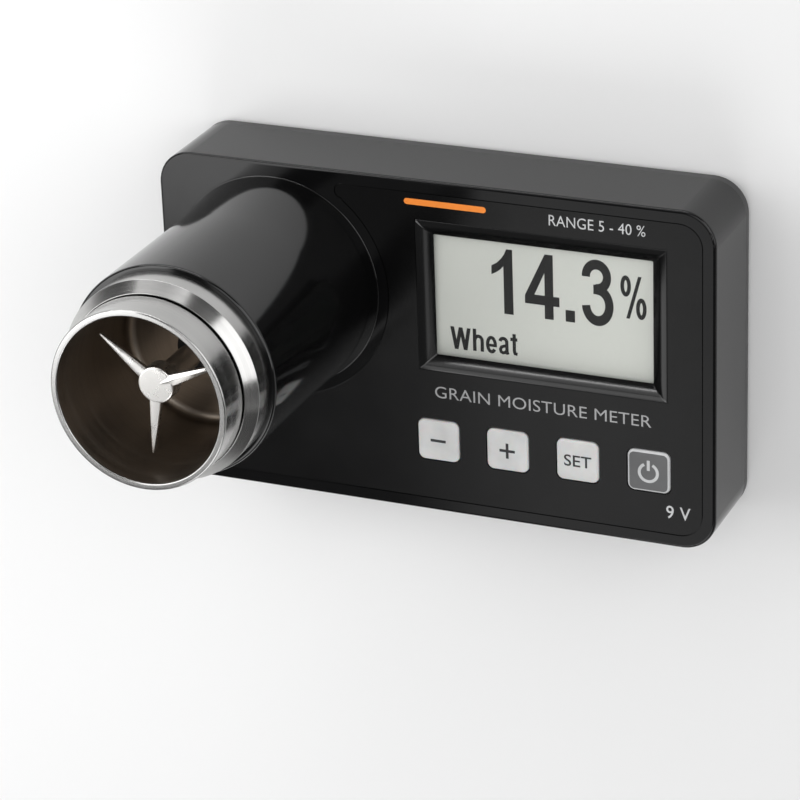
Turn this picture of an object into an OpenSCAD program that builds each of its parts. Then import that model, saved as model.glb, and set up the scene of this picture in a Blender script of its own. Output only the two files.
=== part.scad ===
// Bench grain moisture meter: a flat instrument box on four corner feet, with a tower that
// carries a steel sample cup. A three-armed mill blade turns in the cup.
// +Z is up out of the cup's mouth, +X runs along the row of keys, and +Y points to the edge
// above the display. The origin is on the table, under the middle of the box.

/* [Box] */
// Width of the box along X
body_w = 150; // [148:1:156]
// Depth of the box along Y
body_h = 91; // [90:1:98]
// Height of the box, rear cover included
box_d = 25.6; // [25.2:0.2:30]
// Radius of the box's upright corners
corner_r = 9; // [8:0.5:10]
// Radius rolled over the front edge
edge_r = 0.8; // [0.4:0.1:1.2]
// Thickness of the side walls and of the front wall
wall = 2.4; // [2:0.1:2.6]
// Thickness of the rear cover
cover_t = 2.4; // [2.2:0.1:2.6]
// Height of the rubber feet
foot_h = 2; // [1.5:0.1:3]

/* [Tower and cup] */
// Distance of the cup's axis from the middle of the box along X
axis_x = -43.3; // [-44:0.1:-43]
// Distance of the cup's axis from the middle of the box along Y
axis_y = 13.1; // [12.9:0.1:14]
// Height of the tower above the front face
tower_h = 60.5; // [60:0.5:66]
// Height of the cup's mouth above the tower's rim
cup_rise = 18.4; // [17.6:0.1:20]
// Inner radius of the cup
cup_r = 21.6; // [21:0.1:21.8]
// Outer radius of the collar that a lid slides over
collar_r = 23.3; // [23.2:0.05:23.4]
// Depth of the cup from its mouth to its floor
cup_depth = 38; // [35:0.5:40]

/* [Mill blade] */
// Depth of the blade's top face below the mouth
blade_drop = 9.4; // [8:0.1:14]
// Radius at the points of the three arms
blade_r = 18.2; // [15:0.1:20]
// Direction of the first arm at rest, in degrees from +X
blade_turn = 23; // [0:1:119]
// Radius of the blade's hub
hub_r = 4.8; // [4:0.1:5.5]
// Radius of the blade's shaft
shaft_r = 3; // [2.8:0.1:3.2]

/* [Display and keys] */
// Width of the visible display
glass_w = 58.2; // [50:0.1:58.4]
// Height of the visible display
glass_h = 32.8; // [28:0.1:33]
// Depth of the display window below the front face
glass_sink = 3.85; // [3.5:0.05:3.9]
// Side of the square key caps
key_w = 11.2; // [10:0.1:12]
// Distance between neighbouring keys
key_pitch = 18.95; // [18:0.05:19.1]
// Height of the key caps above the front face
key_rise = 0.5; // [0.3:0.1:1.4]
// Travel of a key
key_travel = 0.8; // [0.5:0.1:0.8]

/* [Hidden] */
$fn = 96;

// Colours
plastic = [0.07, 0.07, 0.07];
gloss = [0.04, 0.04, 0.04];
rubber = [0.10, 0.10, 0.10];
foil = [0.09, 0.09, 0.09];
steel = [0.72, 0.72, 0.70];
bright = [0.88, 0.88, 0.88];
key_grey = [0.84, 0.84, 0.83];
power_grey = [0.42, 0.43, 0.44];
lcd_grey = [0.80, 0.82, 0.78];
clear = [0.85, 0.90, 0.90, 0.35];
board_green = [0.08, 0.35, 0.16];
brass = [0.80, 0.62, 0.25];
white = [0.92, 0.92, 0.90];
red = [0.75, 0.08, 0.06];

// General clearances
gap = 0.3;
fit = 0.02;
run = 0.05;
eps = 0.01;

// Levels of the box, measured up from the table
cover_z = foot_h;
shell_z = cover_z + cover_t;
face_z = foot_h + box_d;
front_in_z = face_z - wall;

// Housing screws and their posts
screw_x = 69.4;
screw_y = 38;
post_r = 3.6;
screw_r = 1.5;
head_r = 2.7;
head_h = 1.8;
head_z = cover_z + 0.2;
seat_z = head_z + head_h;
cover_boss_h = 2;
post_z = shell_z + cover_boss_h + 0.1;
screw_len = 10;

// Rubber feet
foot_inset = 1.6;
foot_w = 10;
foot_l = 20;

// Overlay foil and its recess
foil_inset = 3.6;
foil_r = 6;
foil_t = 0.35;
foil_sink = 0.4;
foil_gap = 0.25;
foil_arc_r = 31.5;
foil_tip_r = 1.8;

// Display: bezel border beyond the glass on each side
glass_x = 28.43;
glass_y = 13.45;
border_left = 3.2;
border_right = 4.6;
border_top = 4.75;
border_bottom = 2.8;
bezel_w = glass_w + border_left + border_right;
bezel_h = glass_h + border_top + border_bottom;
bezel_x = glass_x + (border_right - border_left) / 2;
bezel_y = glass_y + (border_top - border_bottom) / 2;
bezel_flange = 1.2;
window_z = face_z - glass_sink - 1;
window_t = 1;
window_lap = 1;

// Board stack
board_t = 1.6;
board_top = window_z - 3.3;
board_z = board_top - board_t;
board_x0 = -7.6;
board_x1 = 64.8;
board_half_y = 42.4;
board_screw_x = [-4.6, 61.8];
board_screw_y = 39.5;
board_post_r = 2.6;
lcd_margin = 1.2;
holder_t = 1.1;

// Keys
key_y = -25.3;
key_x0 = 0.64;
key_r = 1.8;
key_edge = 0.6;
key_side_gap = 0.35;
key_flange_w = key_w + 2;
key_flange_t = 0.9;
key_flange_z = front_in_z - gap - key_flange_t;
stem_r = 1.6;
switch_w = 6;
switch_h = 3.4;
switch_bore_r = 2;
switch_bore_d = 1.9;
stem_z = board_top + switch_h - 0.7;

// Battery bay
bay_x0 = -63.2;
bay_x1 = -9.4;
bay_y0 = -42;
bay_y1 = -14.7;
bay_wall = 1.4;
bay_lip = 1;
bay_top = 22.2;
bay_roof = 1.2;
cell_w = 26.5;
cell_l = 46;
cell_t = 17.5;
cell_x0 = bay_x0 + 0.6;
cell_y0 = bay_y0 + 0.4;
cell_z0 = shell_z + 0.1;

// Battery door
door_x0 = -62.3;
door_x1 = -10.3;
door_y1 = -13.9;
door_t = 2;
tongue_w = 1.3;
tongue_z = 0.9;
lip_t = 0.6;

// Tower
tower_foot_r = 28.75;
tower_base_r = 27.5;
tower_rim_r = 27.65;
tower_bore_r = 23.8;
tower_mouth_r = 25;
flare_h = 24;
land_h = 0.3;
land_w = 0.25;
flare_out = tower_foot_r - land_w - tower_base_r;
flare_r = (flare_h * flare_h + flare_out * flare_out) / (2 * flare_out);
flare_a = asin(flare_h / flare_r);
flare_steps = 8;
rim_round = 1;
spigot_r = 23.6;
spigot_bore_r = 21.6;
spigot_d = 7;
nut_r = 26;
nut_t = 4;
rim_z = face_z + tower_h;
shoulder_z = rim_z - 8.1;

// Cup, its clamping ring and its seal
mouth_z = rim_z + cup_rise;
floor_z = mouth_z - cup_depth;
floor_t = 3.5;
floor_round = 2.5;
lip_c = 0.3;
collar_z = mouth_z - 9.2;
body_r = collar_r - 0.4;
seal_t = 0.8;
seal_r0 = 23.9;
seal_r1 = 24.9;
cup_flange_r = 24.85;
cup_flange_t = 2;
ring_in_r = 23.45;
ring_spigot_r = 24.9;
ring_r = 26.15;
ring_shoulder_z = rim_z + 5.65;
ring_top_z = collar_z - 0.75;

// Drive
bush_r = 6;
bush_flange_r = 8.5;
bush_flange_t = 1.8;
bush_rise = 3;
shaft_seal_h = 2;
bracket_r = 13.8;
bracket_in_r = 11.6;
bracket_flange_r = 19.5;
bracket_flange_t = 3;
bracket_h = 19;
bracket_floor_t = 2.5;
bracket_top = floor_z - floor_t;
bracket_z = bracket_top - bracket_h;
bracket_bolt_r = 16.7;
gearbox_r = 12.5;
gearbox_h = 18;
gearbox_z = bracket_z - gearbox_h;
gear_bolt_r = 8.5;
motor_r = 12.1;
motor_z = shell_z + 2.1;
motor_shaft_r = 2;
motor_shaft_z = bracket_z - 5.7;
coupling_r = 5;
coupling_h = 11;
coupling_z = bracket_z + bracket_floor_t + 1.5;
coupling_mid = coupling_z + 5;
blade_z = mouth_z - blade_drop;
arm_t = 2.4;
arm_w = 3.2;
hub_h = 4.9;
contact_z = floor_z - floor_t - bush_flange_t - 1.6;
contact_t = 1.2;

// ---------- shared shapes ----------

// Flat rounded rectangle, centred
module rounded_rect(w, h, r) {
    square([w - 2 * r, h], center = true);
    square([w, h - 2 * r], center = true);
    for (sx = [-1, 1], sy = [-1, 1])
        translate([sx * (w / 2 - r), sy * (h / 2 - r)]) circle(r);
}

// Upright plate with rounded corners, standing on z = 0
module plate(w, h, r, t) {
    linear_extrude(t) rounded_rect(w, h, r);
}

// Section of a slab whose two top edges are rolled over by e
module slab_section(w, t, e) {
    translate([-w / 2, 0]) square([w, t - e]);
    translate([-w / 2 + e, 0]) square([w - 2 * e, t]);
    for (s = [-1, 1])
        translate([s * (w / 2 - e), t - e]) circle(e);
}

// Plate whose top edge is rolled over all the way round
module soft_plate(w, h, r, t, e) {
    rotate([90, 0, 90]) linear_extrude(w - 2 * r, center = true) slab_section(h, t, e);
    rotate([90, 0, 0]) linear_extrude(h - 2 * r, center = true) slab_section(w, t, e);
    for (sx = [-1, 1], sy = [-1, 1])
        translate([sx * (w / 2 - r), sy * (h / 2 - r), 0])
            rotate_extrude()
                intersection() {
                    slab_section(2 * r, t, e);
                    square([r, t]);
                }
}

// Upright cylinder from z0 to z1
module rod(r, z0, z1) {
    translate([0, 0, z0]) cylinder(r = r, h = z1 - z0);
}

// Upright tube from z0 to z1
module tube(r_out, r_in, z0, z1) {
    difference() {
        rod(r_out, z0, z1);
        rod(r_in, z0 - 1, z1 + 1);
    }
}

// Block given by its two corners
module block(a, b) {
    translate(a) cube(b - a);
}

module at_axis() {
    translate([axis_x, axis_y, 0]) children();
}

module at_screws() {
    for (sx = [-1, 1], sy = [-1, 1])
        translate([sx * screw_x, sy * screw_y, 0]) children();
}

module at_board_screws() {
    for (x = board_screw_x, sy = [-1, 1])
        translate([x, sy * board_screw_y, 0]) children();
}

function key_x(i) = key_x0 + i * key_pitch;

module at_keys() {
    for (i = [0 : 3])
        translate([key_x(i), key_y, 0]) children();
}

function unit(v) = v / norm(v);

// Direction of a wire at point i: along its neighbours
function along(p, i) = unit(p[min(i + 1, len(p) - 1)] - p[max(i - 1, 0)]);

// One ring of a wire's skin. The routes never run along Y, so Y squares each ring up.
function wire_ring(p, i, r, sides) =
    let (t = along(p, i), u = unit(cross([0, 1, 0], t)), v = cross(t, u))
    [for (k = [0 : sides - 1]) p[i] + r * (cos(360 * k / sides) * u + sin(360 * k / sides) * v)];

// Wire of radius r swept along a route of points
module wire(p, r) {
    sides = 8;
    rings = len(p);
    skin = [for (i = [0 : rings - 1]) each wire_ring(p, i, r, sides)];
    side_faces = [
        for (i = [0 : rings - 2], k = [0 : sides - 1])
            let (a = i * sides + k, b = i * sides + (k + 1) % sides)
            [a, a + sides, b + sides, b]
    ];
    first_cap = [for (k = [0 : sides - 1]) k];
    last_cap = [for (k = [sides - 1 : -1 : 0]) (rings - 1) * sides + k];
    polyhedron(skin, concat(side_faces, [first_cap, last_cap]));
}

// Pan-head screw that points up: its head lies from z to z + head
module screw_up(r, head, head_t, length, z) {
    difference() {
        rod(head, z, z + head_t);
        for (a = [0, 90])
            rotate([0, 0, a]) block([-head * 0.65, -0.3, z - 1], [head * 0.65, 0.3, z + head_t * 0.5]);
    }
    rod(r, z + head_t - eps, z + head_t + length);
}

// ---------- box ----------

// Outline of the foil, grown by g: inset from the box's edge, cut round the tower, and with
// its two horns ended in round tips
module foil_outline(g) {
    w = body_w - 2 * foil_inset;
    h = body_h - 2 * foil_inset;
    horn_y = h / 2 - foil_tip_r;
    horn_x = axis_x + sqrt(pow(foil_arc_r + foil_tip_r, 2) - pow(horn_y - axis_y, 2));
    left_x = -w / 2 + foil_tip_r;
    left_y = axis_y - sqrt(pow(foil_arc_r + foil_tip_r, 2) - pow(axis_x - left_x, 2));
    difference() {
        rounded_rect(w + 2 * g, h + 2 * g, foil_r + g);
        translate([axis_x, axis_y]) circle(foil_arc_r - g);
        translate([-body_w, left_y]) square([body_w + axis_x, body_h]);
        translate([-body_w, axis_y]) square([body_w + horn_x, body_h]);
    }
    translate([horn_x, horn_y]) circle(foil_tip_r + g);
    translate([left_x, left_y]) circle(foil_tip_r + g);
}

module bezel_outline(g) {
    translate([bezel_x, bezel_y]) square([bezel_w + 2 * g, bezel_h + 2 * g], center = true);
}

module key_holes(g) {
    at_keys() rounded_rect(key_w + 2 * g, key_w + 2 * g, key_r + g);
}

module front_housing() {
    color(plastic) difference() {
        union() {
            difference() {
                translate([0, 0, shell_z])
                    soft_plate(body_w, body_h, corner_r, face_z - shell_z, edge_r);
                translate([0, 0, shell_z - 1])
                    plate(body_w - 2 * wall, body_h - 2 * wall, corner_r - wall,
                          front_in_z - shell_z + 1);
            }
            at_screws() rod(post_r, post_z, front_in_z + 1);
            at_board_screws() rod(board_post_r, board_top, front_in_z + 1);
        }
        at_axis() rod(spigot_r + 0.1, front_in_z - 1, face_z + 1);
        translate([0, 0, face_z - foil_sink]) linear_extrude(1) foil_outline(foil_gap);
        translate([0, 0, front_in_z - 1]) linear_extrude(wall + 2) bezel_outline(gap);
        translate([0, 0, front_in_z - 1]) linear_extrude(wall + 2) key_holes(key_side_gap);
        at_screws() rod(screw_r + run, post_z - 1, seat_z + screw_len + 0.5);
        at_board_screws() rod(1 + run, board_top - 1, board_top + 5.5);
    }
}

module bay_walls() {
    x0 = bay_x0 - bay_wall;
    x1 = bay_x1 + bay_wall;
    y0 = bay_y0 - bay_lip;
    y1 = bay_y1 + bay_wall;
    difference() {
        block([x0, y0, shell_z - eps], [x1, y1, bay_top + bay_roof]);
        block([bay_x0, bay_y0, shell_z - 1], [bay_x1, bay_y1, bay_top]);
        block([bay_x1 - 1, -23.5, 12.5], [x1 + 1, -17.5, 16.5]);
    }
}

module rear_cover() {
    rim_w = body_w - 2 * wall - 0.4;
    rim_h = body_h - 2 * wall - 0.4;
    rim_r = corner_r - wall - 0.2;
    color(plastic) difference() {
        union() {
            translate([0, 0, cover_z]) plate(body_w, body_h, corner_r, cover_t);
            difference() {
                translate([0, 0, shell_z - eps]) plate(rim_w, rim_h, rim_r, 2.6);
                translate([0, 0, shell_z - 1]) plate(rim_w - 2.4, rim_h - 2.4, rim_r - 1.2, 5);
                at_screws() rod(5, shell_z - 1, shell_z + 4);
            }
            intersection() {
                at_screws() rod(post_r + 0.6, shell_z - eps, shell_z + cover_boss_h);
                translate([0, 0, shell_z - 1]) plate(rim_w, rim_h, rim_r, 5);
            }
            bay_walls();
        }
        at_screws() rod(3, cover_z - 1, seat_z);
        at_screws() rod(screw_r + 0.15, cover_z - 1, post_z + 1);
        block([door_x0 - gap, -body_h, cover_z - 1], [door_x1 + gap, door_y1 + gap, shell_z + eps]);
        block([door_x0 - tongue_w - gap, -body_h, cover_z + lip_t],
              [door_x1 + tongue_w + gap, door_y1 + gap, shell_z]);
    }
}

module battery_door() {
    top = cover_z + door_t;
    color(plastic) difference() {
        union() {
            block([door_x0, -body_h / 2, cover_z], [door_x1, door_y1, top]);
            block([door_x0 - tongue_w, -body_h / 2 + 1.5, cover_z + tongue_z],
                  [door_x1 + tongue_w, door_y1 - 0.6, top]);
        }
        for (i = [0 : 3])
            block([(door_x0 + door_x1) / 2 - 9, -body_h / 2 + 4 + 2 * i, cover_z - 1],
                  [(door_x0 + door_x1) / 2 + 9, -body_h / 2 + 5 + 2 * i, cover_z + 0.5]);
    }
}

// Corner foot that follows the box's outline, with a hole for the housing screw
module corner_foot(sx, sy) {
    color(rubber) difference() {
        linear_extrude(foot_h) intersection() {
            rounded_rect(body_w - 2 * foot_inset, body_h - 2 * foot_inset, corner_r - foot_inset);
            translate([sx * (body_w / 2 - foot_inset + foot_w / 2), sy * body_h / 2])
                rounded_rect(3 * foot_w, 2 * (foot_l + foot_inset), 2);
        }
        translate([sx * screw_x, sy * screw_y, 0]) rod(3.1, -1, foot_h + 1);
    }
}

module foot_rear_left() {
    corner_foot(-1, 1);
}

module foot_rear_right() {
    corner_foot(1, 1);
}

module foot_front_left() {
    corner_foot(-1, -1);
}

module foot_front_right() {
    corner_foot(1, -1);
}

module housing_screws() {
    color(steel) at_screws() screw_up(screw_r, head_r, head_h, screw_len, head_z);
}

module overlay_foil() {
    color(foil) translate([0, 0, face_z - foil_sink]) linear_extrude(foil_t) difference() {
        foil_outline(0);
        bezel_outline(gap);
        key_holes(key_side_gap);
    }
}

// ---------- display ----------

module lcd_bezel() {
    top = face_z - 0.1;
    land = 0.4;
    color(gloss) difference() {
        union() {
            translate([0, 0, window_z]) linear_extrude(top - window_z) bezel_outline(0);
            translate([0, 0, front_in_z - 1.5]) linear_extrude(1.4) bezel_outline(bezel_flange);
        }
        hull() {
            translate([bezel_x, bezel_y, top + 0.5])
                cube([bezel_w - 2 * land, bezel_h - 2 * land, 1], center = true);
            translate([glass_x, glass_y, window_z + window_t + 0.15])
                cube([glass_w, glass_h, 0.3], center = true);
        }
        translate([glass_x, glass_y, window_z])
            cube([glass_w + 2 * window_lap + 0.2, glass_h + 2 * window_lap + 0.2, 2 * window_t],
                 center = true);
    }
}

module lcd_window() {
    color(clear) translate([glass_x, glass_y, window_z + window_t / 2])
        cube([glass_w + 2 * window_lap, glass_h + 2 * window_lap, window_t - 2 * fit], center = true);
}

module lcd_panel() {
    z0 = board_top + holder_t;
    color(lcd_grey) block([glass_x - glass_w / 2 - lcd_margin, glass_y - glass_h / 2 - lcd_margin, z0],
                          [glass_x + glass_w / 2 + lcd_margin, glass_y + glass_h / 2 + lcd_margin,
                           window_z - 0.2]);
}

module lcd_holder() {
    edge = lcd_margin + 1;
    color(white) block([glass_x - glass_w / 2 - edge, glass_y - glass_h / 2 - edge, board_top],
                       [glass_x + glass_w / 2 + edge, glass_y + glass_h / 2 + edge,
                        board_top + holder_t]);
}

// ---------- electronics ----------

module main_board() {
    color(board_green) difference() {
        block([board_x0, -board_half_y, board_z], [board_x1, board_half_y, board_top]);
        at_board_screws() rod(1.2, board_z - 1, board_top + 1);
    }
}

// Processor, measuring chips, capacitors and three lead headers, on the board's underside
module board_components() {
    z = board_z;
    color(gloss) {
        block([20, 4, z - 1.6], [34, 18, z]);
        block([42, -20, z - 1.8], [52, -14, z]);
        block([42, -10, z - 1.8], [48, -4, z]);
        translate([14, -12, 0]) rod(4, z - 8, z);
        translate([54, 24, 0]) rod(3.2, z - 7, z);
        translate([10, 28, 0]) rod(6, z - 3.5, z);
        for (y = [-24, 0, 12])
            block([-2, y, z - 5], [4, y + 8, z]);
    }
}

module board_screws() {
    color(steel) at_board_screws() screw_up(1, 2, 1.4, 6.4, board_z - 1.4);
}

module key_switches() {
    color(gloss) at_keys() difference() {
        translate([-switch_w / 2, -switch_w / 2, board_top]) cube([switch_w, switch_w, switch_h]);
        rod(switch_bore_r, board_top + switch_h - switch_bore_d, board_top + switch_h + 1);
    }
}

// Key cap with its inner flange and its stem, which reaches into the switch
module key(i) {
    translate([key_x(i), key_y, 0]) {
        translate([0, 0, key_flange_z])
            soft_plate(key_w, key_w, key_r, face_z + key_rise - key_flange_z, key_edge);
        translate([0, 0, key_flange_z]) plate(key_flange_w, key_flange_w, key_r, key_flange_t);
        rod(stem_r, stem_z, key_flange_z + 0.5);
    }
}

module minus_key() {
    color(key_grey) key(0);
}

module plus_key() {
    color(key_grey) key(1);
}

module set_key() {
    color(key_grey) key(2);
}

module power_key() {
    color(power_grey) key(3);
}

// ---------- power ----------

module battery_9v() {
    x1 = cell_x0 + cell_l;
    mid_y = cell_y0 + cell_w / 2;
    mid_z = cell_z0 + cell_t / 2;
    color(brass) {
        block([cell_x0, cell_y0, cell_z0], [x1, cell_y0 + cell_w, cell_z0 + cell_t]);
        for (s = [-1, 1])
            translate([x1 - eps, mid_y + s * 6.4, mid_z]) rotate([0, 90, 0])
                cylinder(r = s > 0 ? 2.8 : 3.8, h = 2.4);
    }
}

module battery_snap() {
    x0 = cell_x0 + cell_l + 2.5;
    mid_y = cell_y0 + cell_w / 2;
    mid_z = cell_z0 + cell_t / 2;
    color(rubber) translate([x0, mid_y, mid_z]) rotate([90, 0, 90]) plate(25, 12, 4, 3.4);
}

module battery_leads() {
    x0 = cell_x0 + cell_l + 6.1;
    color(red) wire([[x0, -22, 14], [-8.7, -22, 14.6], [-5, -21, 15], [-2.2, -21, 15]], 0.6);
    color(gloss) wire([[x0, -19, 14], [-8.7, -19, 14.6], [-5, -18.5, 15], [-2.2, -18.5, 15]], 0.6);
}

// ---------- tower and cup ----------

module cup_tower() {
    wall_z = face_z + land_h + flare_h;
    flare = [for (k = [flare_steps : -1 : 0]) let (a = flare_a * k / flare_steps)
        [tower_base_r + flare_r * (1 - cos(a)), wall_z - flare_r * sin(a)]];
    color(plastic) at_axis() rotate_extrude() {
        polygon(concat(
            [[spigot_bore_r, face_z - spigot_d], [spigot_r, face_z - spigot_d],
                [spigot_r, face_z], [tower_foot_r, face_z], [tower_foot_r, face_z + land_h]],
            flare,
            [[tower_rim_r, rim_z - rim_round], [tower_rim_r - rim_round, rim_z],
                [tower_mouth_r, rim_z], [tower_mouth_r, shoulder_z - seal_t],
                [tower_bore_r, shoulder_z - seal_t], [tower_bore_r, face_z + 2.4],
                [spigot_bore_r, face_z + 2.4]]
        ));
        translate([tower_rim_r - rim_round, rim_z - rim_round]) circle(rim_round);
    }
}

// Nut on the tower's spigot, under the front wall
module tower_nut() {
    color(gloss) at_axis() difference() {
        tube(nut_r, spigot_r + run, front_in_z - nut_t, front_in_z);
        for (a = [0 : 60 : 300])
            rotate([0, 0, a]) block([nut_r - 1, -2, front_in_z - nut_t - 1], [nut_r + 1, 2, front_in_z - 1]);
    }
}

module grain_cup() {
    z0 = floor_z - floor_t;
    flange_z = shoulder_z;
    color(steel) at_axis() difference() {
        rotate_extrude() difference() {
            polygon([
                [bush_r + run, z0], [body_r, z0], [body_r, flange_z],
                [cup_flange_r, flange_z], [cup_flange_r, flange_z + cup_flange_t],
                [body_r, flange_z + cup_flange_t], [body_r, collar_z], [collar_r, collar_z],
                [collar_r, mouth_z - lip_c], [collar_r - lip_c, mouth_z],
                [cup_r + lip_c, mouth_z], [cup_r, mouth_z - lip_c],
                [cup_r, floor_z + floor_round], [cup_r - floor_round, floor_z + floor_round],
                [cup_r - floor_round, floor_z], [bush_r + run, floor_z]
            ]);
            translate([cup_r - floor_round, floor_z + floor_round]) circle(floor_round);
        }
        for (a = [60, 180, 300])
            rotate([0, 0, a]) translate([bracket_bolt_r, 0, 0]) rod(1.55, z0 - 1, floor_z - 0.8);
    }
}

module cup_ring() {
    color(steel) at_axis() rotate_extrude() polygon([
        [ring_in_r, shoulder_z + cup_flange_t + run],
        [ring_spigot_r, shoulder_z + cup_flange_t + run],
        [ring_spigot_r, rim_z], [ring_r, rim_z], [ring_r, ring_shoulder_z],
        [ring_in_r + 0.15, ring_top_z], [ring_in_r, ring_top_z]
    ]);
}

// Gasket between the cup's flange and the tower's shoulder
module cup_seal() {
    color(rubber) at_axis() tube(seal_r1, seal_r0, shoulder_z - seal_t, shoulder_z);
}

// ---------- drive ----------

module motor_bracket() {
    color(bright) at_axis() difference() {
        union() {
            rod(bracket_r, bracket_z, bracket_top);
            rod(bracket_flange_r, bracket_top - bracket_flange_t, bracket_top);
        }
        rod(bracket_in_r, bracket_z + bracket_floor_t, bracket_top + 1);
        rod(4, bracket_z - 1, bracket_top);
        for (a = [60, 180, 300])
            rotate([0, 0, a]) translate([bracket_bolt_r, 0, 0]) rod(1.65, bracket_z, bracket_top + 1);
        for (a = [90, 270])
            rotate([0, 0, a]) translate([gear_bolt_r, 0, 0]) rod(1.35, bracket_z - 1, bracket_top);
        block([bracket_in_r - 1, -2, contact_z - 1], [bracket_r + 2, 2, contact_z + contact_t + 0.6]);
    }
}

module bracket_screws() {
    color(steel) at_axis() for (a = [60, 180, 300])
        rotate([0, 0, a]) translate([bracket_bolt_r, 0, 0])
            screw_up(screw_r, head_r, 1.8, 5.4, bracket_top - bracket_flange_t - 1.8);
}

module gearbox() {
    color(bright) at_axis() difference() {
        rod(gearbox_r, gearbox_z, bracket_z);
        rod(motor_shaft_r + run, motor_shaft_z - 0.3, bracket_z + 1);
        for (a = [90, 270])
            rotate([0, 0, a]) translate([gear_bolt_r, 0, 0]) rod(1.3, bracket_z - 4.5, bracket_z + 1);
    }
}

module gearbox_screws() {
    top = bracket_z + bracket_floor_t;
    color(steel) at_axis() for (a = [90, 270])
        rotate([0, 0, a]) translate([gear_bolt_r, 0, 0]) {
            rod(1.25, top - 6.5, top + eps);
            rod(2.2, top, top + 1.4);
        }
}

module motor_can() {
    color(steel) at_axis() {
        rod(motor_r, motor_z, gearbox_z);
        rod(5, motor_z - 1.3, motor_z + eps);
        for (s = [-1, 1])
            block([8.6, 3 * s - 1, motor_z - 1.6], [9.4, 3 * s + 1, motor_z + eps]);
    }
}

module motor_shaft() {
    color(bright) at_axis() rod(motor_shaft_r, motor_shaft_z, coupling_mid - 0.3);
}

module shaft_coupling() {
    color(brass) at_axis() difference() {
        rod(coupling_r, coupling_z, coupling_z + coupling_h);
        rod(motor_shaft_r + fit, coupling_z - 1, coupling_mid);
        rod(shaft_r + fit, coupling_mid, coupling_z + coupling_h + 1);
    }
}

module blade_shaft() {
    color(bright) at_axis() rod(shaft_r, coupling_mid + 0.3, blade_z - 2);
}

// Blade: a round hub and three arms that taper to points short of the cup's wall
module mill_blade() {
    tip = 0.7;
    color(bright) at_axis() rotate([0, 0, blade_turn]) difference() {
        union() {
            rod(hub_r, blade_z - hub_h, blade_z);
            for (a = [0, 120, 240])
                rotate([0, 0, a]) translate([0, 0, blade_z - arm_t]) linear_extrude(arm_t) polygon([
                    [0, -arm_w / 2], [blade_r - tip, -0.3], [blade_r, 0], [blade_r - tip, 0.3],
                    [0, arm_w / 2]
                ]);
        }
        rod(shaft_r + fit, blade_z - hub_h - 1, blade_z - 1.9);
    }
}

module shaft_bush() {
    z0 = floor_z - floor_t;
    color(brass) at_axis() difference() {
        union() {
            rod(bush_flange_r, z0 - bush_flange_t, z0);
            rod(bush_r, z0 - eps, floor_z + bush_rise);
        }
        rod(shaft_r + run, z0 - bush_flange_t - 1, floor_z + bush_rise + 1);
    }
}

module shaft_seal() {
    z0 = floor_z + bush_rise;
    color(rubber) at_axis() tube(bush_r - 0.5, shaft_r + run, z0, z0 + shaft_seal_h);
}

// Brass strip that takes the measuring signal off the turning shaft
module shaft_contact() {
    color(brass) at_axis() block([shaft_r + run, -1, contact_z], [bracket_r + 1.2, 1, contact_z + contact_t]);
}

module temperature_sensor() {
    color(gloss) at_axis() rotate([0, 0, 110]) translate([21.3, 0, 0]) rod(1.6, bracket_top - 5, bracket_top);
}

module sensor_leads() {
    color(red) wire([[-28.3, 13.1, 60.8], [-26, 13.1, 58], [-25.3, 13.1, 54], [-25.3, 13.1, 20],
                     [-22, 13.6, 12], [-12, 15, 10.5], [-6, 15.2, 14], [-2.2, 15, 15]], 0.6);
    color(white) wire([[-50.6, 33.1, 59.8], [-50.6, 32.6, 54], [-50, 31, 20], [-46, 30, 12],
                       [-30, 26, 9.5], [-12, 19, 9.5], [-6, 17.8, 13.5], [-2.2, 17.6, 15]], 0.6);
}

module motor_leads() {
    color(red) wire([[-33.7, 16.1, 5.5], [-28, 16.1, 6], [-15, 10, 7.5], [-8, 6.2, 12],
                     [-5, 5.6, 15], [-2.2, 5.6, 15]], 0.6);
    color(gloss) wire([[-33.7, 10.1, 5.5], [-28, 10.1, 6], [-15, 5, 7.5], [-8, 3.2, 12],
                       [-5, 2.8, 15], [-2.2, 2.8, 15]], 0.6);
}

front_housing();
rear_cover();
battery_door();
foot_rear_left();
foot_rear_right();
foot_front_left();
foot_front_right();
housing_screws();
overlay_foil();
lcd_bezel();
lcd_window();
lcd_panel();
lcd_holder();
main_board();
board_components();
board_screws();
key_switches();
minus_key();
plus_key();
set_key();
power_key();
battery_9v();
battery_snap();
battery_leads();
cup_tower();
tower_nut();
grain_cup();
cup_ring();
cup_seal();
motor_bracket();
bracket_screws();
gearbox();
gearbox_screws();
motor_can();
motor_shaft();
shaft_coupling();
blade_shaft();
mill_blade();
shaft_bush();
shaft_seal();
shaft_contact();
temperature_sensor();
sensor_leads();
motor_leads();
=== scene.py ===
"""Looks of a bench grain moisture meter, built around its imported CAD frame.

Lengths in the shape code are in millimetres, in the object's frame; MM turns them into metres.
Lights and camera are placed in metres.
"""

import math

import bmesh
import bpy
from mathutils import Matrix, Vector


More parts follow.
